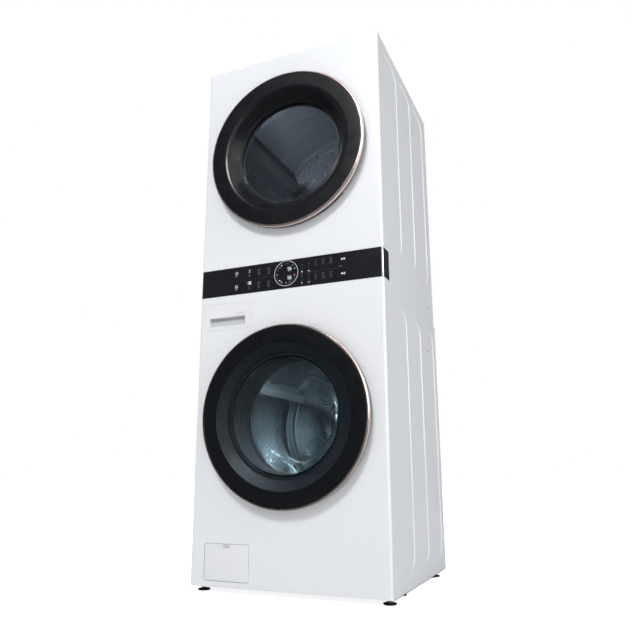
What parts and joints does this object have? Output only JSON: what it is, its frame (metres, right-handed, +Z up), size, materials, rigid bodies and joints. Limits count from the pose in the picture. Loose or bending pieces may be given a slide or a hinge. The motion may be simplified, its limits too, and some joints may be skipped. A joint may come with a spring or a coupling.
{
  "type": "washer dryer stack",
  "caption": "Stacked laundry tower: front-loading washer below, dryer above, with round hinged doors, a control strip, detergent drawer and drain hatch.",
  "frame": {"origin": "on the floor, in the middle of the overall width and depth", "axes": "+Z up, the front faces -Y, +X to the right of someone facing the front"},
  "size_m": [0.686, 0.772, 1.889],
  "materials": {
    "white_enamel": "gloss",
    "galvanised": "satin",
    "dark_pan": "matte",
    "control_black": "gloss",
    "grey_plastic": "matte",
    "white_plastic": "satin",
    "zinc_steel": "satin",
    "copper_trim": "satin",
    "door_plastic": "satin",
    "dish_black": "gloss",
    "tinted_glass": "gloss",
    "clear_glass": "gloss",
    "grey_rubber": "matte",
    "concrete": "matte",
    "stainless": "satin",
    "zinc_drum": "satin",
    "motor_black": "satin",
    "stator_copper": "satin",
    "black_rubber": "matte"
  },
  "bodies": {
    "root": {"base_pan": "dark_pan", "washer_side_right": "white_enamel", "washer_side_left": "white_enamel", "washer_front_panel": "white_enamel", "washer_rear_cover": "galvanised", "stacking_deck": "galvanised", "dryer_side_right": "white_enamel", "dryer_side_left": "white_enamel", "dryer_front_panel": "white_enamel", "dryer_rear_panel": "galvanised", "top_panel": "white_enamel", "control_glass": "control_black", "control_module": "grey_plastic", "door_brackets_and_catches": "zinc_steel", "door_gasket": "grey_rubber", "damper_cylinders": "zinc_steel", "suspension_springs": "zinc_steel", "dispenser_box": "grey_plastic", "water_connections": "grey_plastic", "drain_pump": "grey_plastic", "dryer_front_bulkhead": "galvanised", "dryer_rear_bulkhead": "galvanised", "drum_belt": "black_rubber", "dryer_motor": "motor_black", "dryer_ducts": "galvanised"},
    "washer_door": {"washer_door_frame": "door_plastic", "washer_door_trim": "copper_trim", "washer_door_cover": "tinted_glass", "washer_door_bowl": "clear_glass", "washer_door_metalwork": "zinc_steel"},
    "dryer_door": {"dryer_door_frame": "door_plastic", "dryer_door_trim": "copper_trim", "dryer_door_dish": "dish_black", "dryer_door_window": "clear_glass", "dryer_door_metalwork": "zinc_steel"},
    "tub": {"tub_front": "grey_plastic", "tub_rear": "grey_plastic", "counterweights": "concrete", "stator": "stator_copper", "damper_rods": "zinc_steel"},
    "washer_drum": {"washer_drum": "stainless", "washer_drum_mouldings": "grey_plastic", "drum_spider": "zinc_steel", "rotor": "zinc_steel"},
    "dryer_drum": {"dryer_drum": "zinc_drum", "dryer_lifters": "grey_plastic"},
    "motor_rotor": {"motor_rotor": "zinc_steel"},
    "idler": {"idler_pulley": "black_rubber"},
    "roller_left": {"drum_roller_left": "black_rubber"},
    "roller_right": {"drum_roller_right": "black_rubber"},
    "detergent_drawer": {"drawer_front": "white_plastic", "drawer_tray": "grey_plastic"},
    "hatch": {"access_hatch": "white_plastic"},
    "pump_impeller": {"pump_impeller": "grey_plastic"},
    "drain_filter": {"filter_plug": "grey_plastic"},
    "lint_filter": {"lint_filter": "grey_plastic"},
    "foot_front_left": {"foot_front_left": "black_rubber"},
    "foot_front_right": {"foot_front_right": "black_rubber"},
    "foot_rear_left": {"foot_rear_left": "black_rubber"},
    "foot_rear_right": {"foot_rear_right": "black_rubber"}
  },
  "joints": [
    {"name": "washer_door_hinge", "type": "hinge", "parent": "root", "child": "washer_door", "pos_m": [-0.282, -0.37, 0.554], "axis": [0, 0, -1], "range_deg": [0, 130]},
    {"name": "dryer_door_hinge", "type": "hinge", "parent": "root", "child": "dryer_door", "pos_m": [-0.282, -0.37, 1.493], "axis": [0, 0, -1], "range_deg": [0, 130]},
    {"name": "tub_suspension", "type": "slide", "parent": "root", "child": "tub", "axis": [0, 0, 1], "range_m": [-0.012, 0.012], "stiffness_N_per_m": 30000, "springref_m": 0.01275, "deforming": ["suspension_springs", "door_gasket"]},
    {"name": "washer_drum_spin", "type": "hinge", "parent": "tub", "child": "washer_drum", "pos_m": [0, 0, 0.554], "axis": [0, 1, 0], "continuous": true},
    {"name": "dryer_drum_spin", "type": "hinge", "parent": "root", "child": "dryer_drum", "pos_m": [0, 0, 1.53], "axis": [0, 1, 0], "continuous": true},
    {"name": "motor_spin", "type": "hinge", "parent": "root", "child": "motor_rotor", "pos_m": [0.092, 0, 1.046], "axis": [0, 1, 0], "continuous": true},
    {"name": "idler_spin", "type": "hinge", "parent": "root", "child": "idler", "pos_m": [0.008, 0, 1.04], "axis": [0, 1, 0], "continuous": true},
    {"name": "roller_left_spin", "type": "hinge", "parent": "root", "child": "roller_left", "pos_m": [-0.19944, 0, 1.2555], "axis": [0, 1, 0], "continuous": true},
    {"name": "roller_right_spin", "type": "hinge", "parent": "root", "child": "roller_right", "pos_m": [0.19944, 0, 1.2555], "axis": [0, 1, 0], "continuous": true},
    {"name": "drawer_slide", "type": "slide", "parent": "root", "child": "detergent_drawer", "axis": [0, -1, 0], "range_m": [0, 0.24]},
    {"name": "hatch_hinge", "type": "hinge", "parent": "root", "child": "hatch", "pos_m": [-0.208, -0.3456, 0.046], "axis": [1, 0, 0], "range_deg": [0, 90]},
    {"name": "impeller_spin", "type": "hinge", "parent": "root", "child": "pump_impeller", "pos_m": [-0.233, 0, 0.112], "axis": [0, 1, 0], "continuous": true},
    {"name": "drain_filter_turn", "type": "hinge", "parent": "root", "child": "drain_filter", "pos_m": [-0.233, 0, 0.112], "axis": [0, 1, 0], "range_deg": [0, 90]},
    {"name": "lint_filter_lift", "type": "slide", "parent": "root", "child": "lint_filter", "axis": [0, 0, 1], "range_m": [0, 0.14]},
    {"name": "foot_front_left_screw", "type": "slide", "parent": "root", "child": "foot_front_left", "axis": [0, 0, 1], "range_m": [-0.01, 0.005]},
    {"name": "foot_front_right_screw", "type": "slide", "parent": "root", "child": "foot_front_right", "axis": [0, 0, 1], "range_m": [-0.01, 0.005]},
    {"name": "foot_rear_left_screw", "type": "slide", "parent": "root", "child": "foot_rear_left", "axis": [0, 0, 1], "range_m": [-0.01, 0.005]},
    {"name": "foot_rear_right_screw", "type": "slide", "parent": "root", "child": "foot_rear_right", "axis": [0, 0, 1], "range_m": [-0.01, 0.005]}
  ],
  "couplings": [
    {"joint": "motor_spin", "follows": "dryer_drum_spin", "ratio": 24.984},
    {"joint": "idler_spin", "follows": "dryer_drum_spin", "ratio": 12.395},
    {"joint": "roller_left_spin", "follows": "dryer_drum_spin", "ratio": -8.6857},
    {"joint": "roller_right_spin", "follows": "dryer_drum_spin", "ratio": -8.6857}
  ]
}
